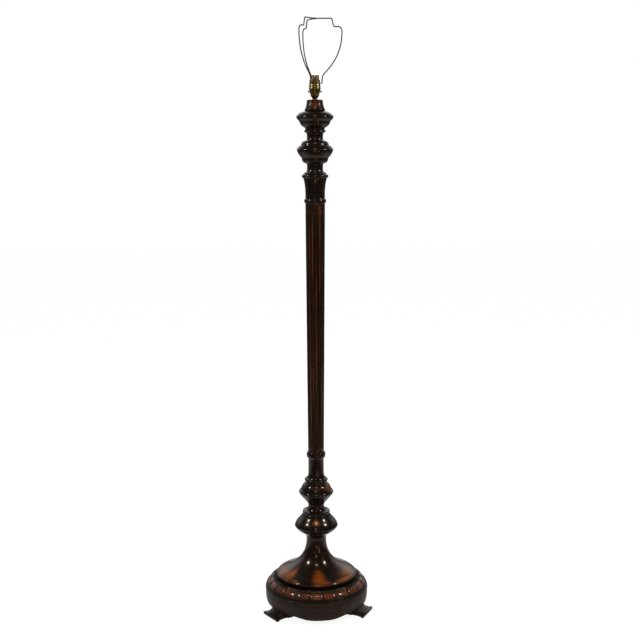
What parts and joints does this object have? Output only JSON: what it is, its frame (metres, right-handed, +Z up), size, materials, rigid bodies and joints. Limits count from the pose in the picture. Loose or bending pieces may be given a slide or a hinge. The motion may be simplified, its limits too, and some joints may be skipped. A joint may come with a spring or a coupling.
{
  "type": "floor lamp",
  "caption": "Turned wooden candlestick floor lamp with a fluted column, a gadrooned round base on bracket feet, and a wire shade carrier.",
  "frame": {"origin": "on the floor, on the column's axis", "axes": "+Z up along the column; -Y is the front, with one foot pointing back and one on either side of the front; the push bar lies along X"},
  "size_m": [0.3478, 0.341, 1.8306],
  "materials": {
    "dark_wood": "near-black brown stain under gloss varnish",
    "carved_wood": "carved, stained wood under gloss varnish, rubbed to amber brown on the high parts",
    "brass": "pressed and turned, lightly tarnished",
    "steel": "plain",
    "dark_wire": "dark grey, worn plating",
    "iron": "rough cast",
    "black_moulding": "black moulded resin",
    "fibre": "brown moulded insulating fibre"
  },
  "bodies": {
    "lamp": {"plinth": "dark_wood", "apron": "dark_wood", "foot_left": "dark_wood", "foot_right": "dark_wood", "foot_back": "dark_wood", "foot_screws": "steel", "ballast": "iron", "ballast_screws": "steel", "outlet_bush": "brass", "gadroon_ring": "carved_wood", "base_dome": "dark_wood", "lower_knop": "dark_wood", "lower_baluster": "dark_wood", "lower_neck": "dark_wood", "fluted_shaft": "dark_wood", "collar": "dark_wood", "upper_baluster": "dark_wood", "upper_knop": "dark_wood", "cap": "dark_wood", "tie_tube": "steel", "base_washer": "steel", "base_nut": "steel", "seat_nut": "brass", "holder_cup": "brass", "cord_grip": "fibre", "holder_shell": "brass", "barrel": "brass", "insulator": "fibre", "spring_left": "steel", "spring_right": "steel", "terminals": "brass", "terminal_screws": "brass", "shade_ring": "brass"},
    "push_bar": {"push_bar": "black_moulding", "push_knob_left": "black_moulding", "push_knob_right": "black_moulding", "switch_bridge": "fibre"},
    "plunger_left": {"plunger_left": "brass"},
    "plunger_right": {"plunger_right": "brass"},
    "shade_carrier": {"carrier_ring": "dark_wire", "carrier_arm_right": "dark_wire", "carrier_arm_back": "dark_wire", "carrier_arm_front": "dark_wire", "carrier_boss": "dark_wire"}
  },
  "joints": [
    {"name": "push_bar_slide", "type": "slide", "parent": "lamp", "child": "push_bar", "axis": [1, 0, 0], "range_m": [-0.0015, 0.0015]},
    {"name": "plunger_left_press", "type": "slide", "parent": "lamp", "child": "plunger_left", "axis": [0, 0, 1], "range_m": [-0.003, 0], "stiffness_N_per_m": 400, "springref_m": 0.001, "deforming": ["spring_left"]},
    {"name": "plunger_right_press", "type": "slide", "parent": "lamp", "child": "plunger_right", "axis": [0, 0, 1], "range_m": [-0.003, 0], "stiffness_N_per_m": 400, "springref_m": 0.001, "deforming": ["spring_right"]},
    {"name": "carrier_turn", "type": "hinge", "parent": "lamp", "child": "shade_carrier", "pos_m": [0, 0, 1.6414], "axis": [0, 0, 1], "continuous": true}
  ]
}
